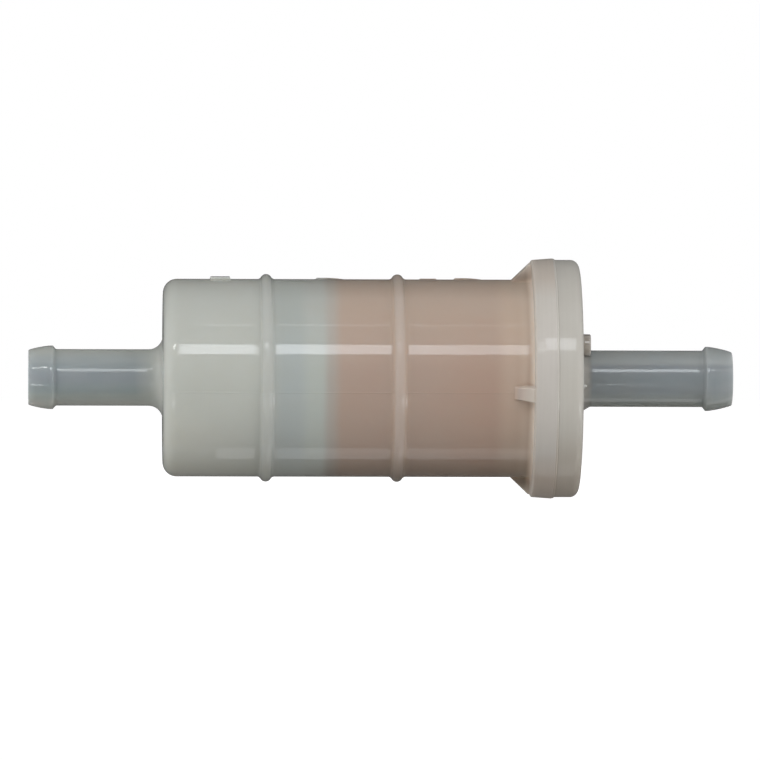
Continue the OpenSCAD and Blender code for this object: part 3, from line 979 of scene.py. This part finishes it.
def add_area(name, way, centre, wide, high, radiance, far):
    """A rectangular light of an even radiance, where 1 is the white of the background."""
    data = bpy.data.lights.new(name, "AREA")
    data.shape = "RECTANGLE"
    data.size = wide
    data.size_y = high
    data.energy = radiance * math.pi * wide * high
    light = bpy.data.objects.new(name, data)
    bpy.context.scene.collection.objects.link(light)
    light.location = Vector((centre, 0, 0)) + way * far
    light.rotation_euler = way.to_track_quat("Z", "Y").to_euler()
    light.visible_camera = False
    return light


def add_lights():
    """Strips that shade the filter or are seen in it, and panels at its ends and back."""
    # The long highlight along the barrel, and the soft light that shades with it.
    key = add_strip("key", rise=32.9, start=0.026, end=0.17, high=0.1, radiance=5.4,
                    seen_in="gloss")
    key.data.color = (0.96, 1.0, 1.05)
    add_strip("key_soft", rise=34.2, start=-0.55, end=0.65, high=0.34, radiance=2.1,
              seen_in="shade")
    # Thin lines along the nipples and the inlet's barb, and a faint one high on the barrel.
    add_strip("nipple_line", rise=30, start=-0.004, end=0.0205, high=0.1, radiance=4.0,
              seen_in="gloss")
    add_strip("barb_line", rise=38, start=-0.31, end=-0.1, high=0.05, radiance=7.5,
              seen_in="gloss")
    add_strip("faint_line", rise=63.5, start=0.03, end=0.9, high=0.02, radiance=1.6,
              seen_in="gloss", far=0.6)
    # Fill from above and below, and the broad pale line low on the barrel.
    add_strip("top_fill", rise=78, start=-0.6, end=0.7, high=0.5, radiance=0.3,
              seen_in="shade", far=0.6)
    low = add_strip("low_fill", rise=-46, start=-0.6, end=0.7, high=0.6, radiance=0.6,
                    seen_in="shade", far=0.6)
    low.data.color = (1.0, 0.98, 0.93)
    add_strip("low_card", rise=-98.6, start=0.032, end=0.5, high=0.135, radiance=0.8,
              seen_in="gloss", far=0.4)
    # Small glints on the outlet nipple and on both barbs.
    add_strip("outlet_glint", rise=-24, start=0.104, end=0.114, high=0.03, radiance=5.0,
              seen_in="gloss")
    add_strip("outlet_barb", rise=33, start=0.25, end=0.31, high=0.05, radiance=3.0,
              seen_in="gloss")
    add_strip("barb_glint", rise=-23, start=-0.3, end=-0.2, high=0.03, radiance=1.8,
              seen_in="gloss")
    # Side panels seen in the corners, and ones that only shade the ends and the back.
    add_panel("left_panel", azimuth=-80, rise=5, wide=0.6, high=0.6, radiance=0.5)
    add_panel("right_panel", azimuth=80, rise=5, wide=0.6, high=0.6, radiance=0.5)
    for name, azimuth, radiance in (("left_end", -88, 1.0), ("right_end", 88, 0.8),
                                    ("back_fill", 180, 1.1)):
        panel = add_panel(name, azimuth, rise=0, wide=0.5, high=0.5, radiance=radiance)
        panel.visible_glossy = False
    # Small bright ones for the glints on the corners of the barrel and the cap.
    add_panel("left_spot", azimuth=-36, rise=-27, wide=0.16, high=0.05, radiance=4.0)
    add_panel("right_spot", azimuth=68, rise=-20, wide=0.2, high=0.05, radiance=6.0)


def add_world():
    """White where the camera sees it, and a dim even room for the object."""
    world = bpy.data.worlds.new("studio")
    world.use_nodes = True
    bpy.context.scene.world = world
    nodes, links = world.node_tree.nodes, world.node_tree.links
    nodes.clear()
    room = nodes.new("ShaderNodeBackground")
    room.inputs["Color"].default_value = (1, 1, 1, 1)
    room.inputs["Strength"].default_value = ROOM_LEVEL
    seen = nodes.new("ShaderNodeBackground")
    seen.inputs["Color"].default_value = (1, 1, 1, 1)
    path = nodes.new("ShaderNodeLightPath")
    mix = nodes.new("ShaderNodeMixShader")
    links.new(path.outputs["Is Camera Ray"], mix.inputs[0])
    links.new(room.outputs[0], mix.inputs[1])
    links.new(seen.outputs[0], mix.inputs[2])
    output = nodes.new("ShaderNodeOutputWorld")
    links.new(mix.outputs[0], output.inputs["Surface"])


def add_floor():
    """A plain white floor under the flange, seen by the camera and by nothing else."""
    size = 6.0
    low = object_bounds()[0].z - 0.00002
    mesh = bpy.data.meshes.new("floor")
    corners = [(-size, -size, low), (size, -size, low), (size, size, low), (-size, size, low)]
    mesh.from_pydata(corners, [], [(0, 1, 2, 3)])
    floor = bpy.data.objects.new("floor", mesh)
    bpy.context.scene.collection.objects.link(floor)
    material = bpy.data.materials.new("white_floor")
    material.use_nodes = True
    shader = material.node_tree.nodes["Principled BSDF"]
    shader.inputs["Base Color"].default_value = (0.3, 0.3, 0.3, 1)
    shader.inputs["Roughness"].default_value = 1.0
    shader.inputs["Specular IOR Level"].default_value = 0.0
    shader.inputs["Emission Color"].default_value = (1, 1, 1, 1)
    shader.inputs["Emission Strength"].default_value = 1.0
    mesh.materials.append(material)
    floor.visible_diffuse = False
    floor.visible_glossy = False
    floor.visible_transmission = False
    floor.visible_shadow = False


def set_render():
    scene = bpy.context.scene
    scene.view_settings.view_transform = "Standard"
    scene.cycles.use_denoising = True
    scene.cycles.max_bounces = 12
    scene.cycles.transmission_bounces = 10
    scene.cycles.sample_clamp_indirect = 4


def add_pieces():
    """The housing's three parts, each in place of its CAD node."""
    bowl = make_piece("housing_bowl", [bowl_mesh()])
    cap = make_piece("housing_cap", [cap_mesh(), gate_mesh()])
    weld = make_piece("housing_weld", [weld_mesh()])
    plan = (
        (bowl, "inlet_bowl", bowl_paint(), "milky_nylon"),
        (cap, "outlet_cap", cap_paint(), "cream_nylon"),
        (weld, "weld_bead", weld_paint(), "weld_nylon"),
    )
    for piece, node, paint, slot in plan:
        piece.data.materials.append(paint)
        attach(piece, "root")
        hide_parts(node)


add_camera()
add_pieces()
finish_nodes()
add_floor()
add_lights()
add_world()
set_render()
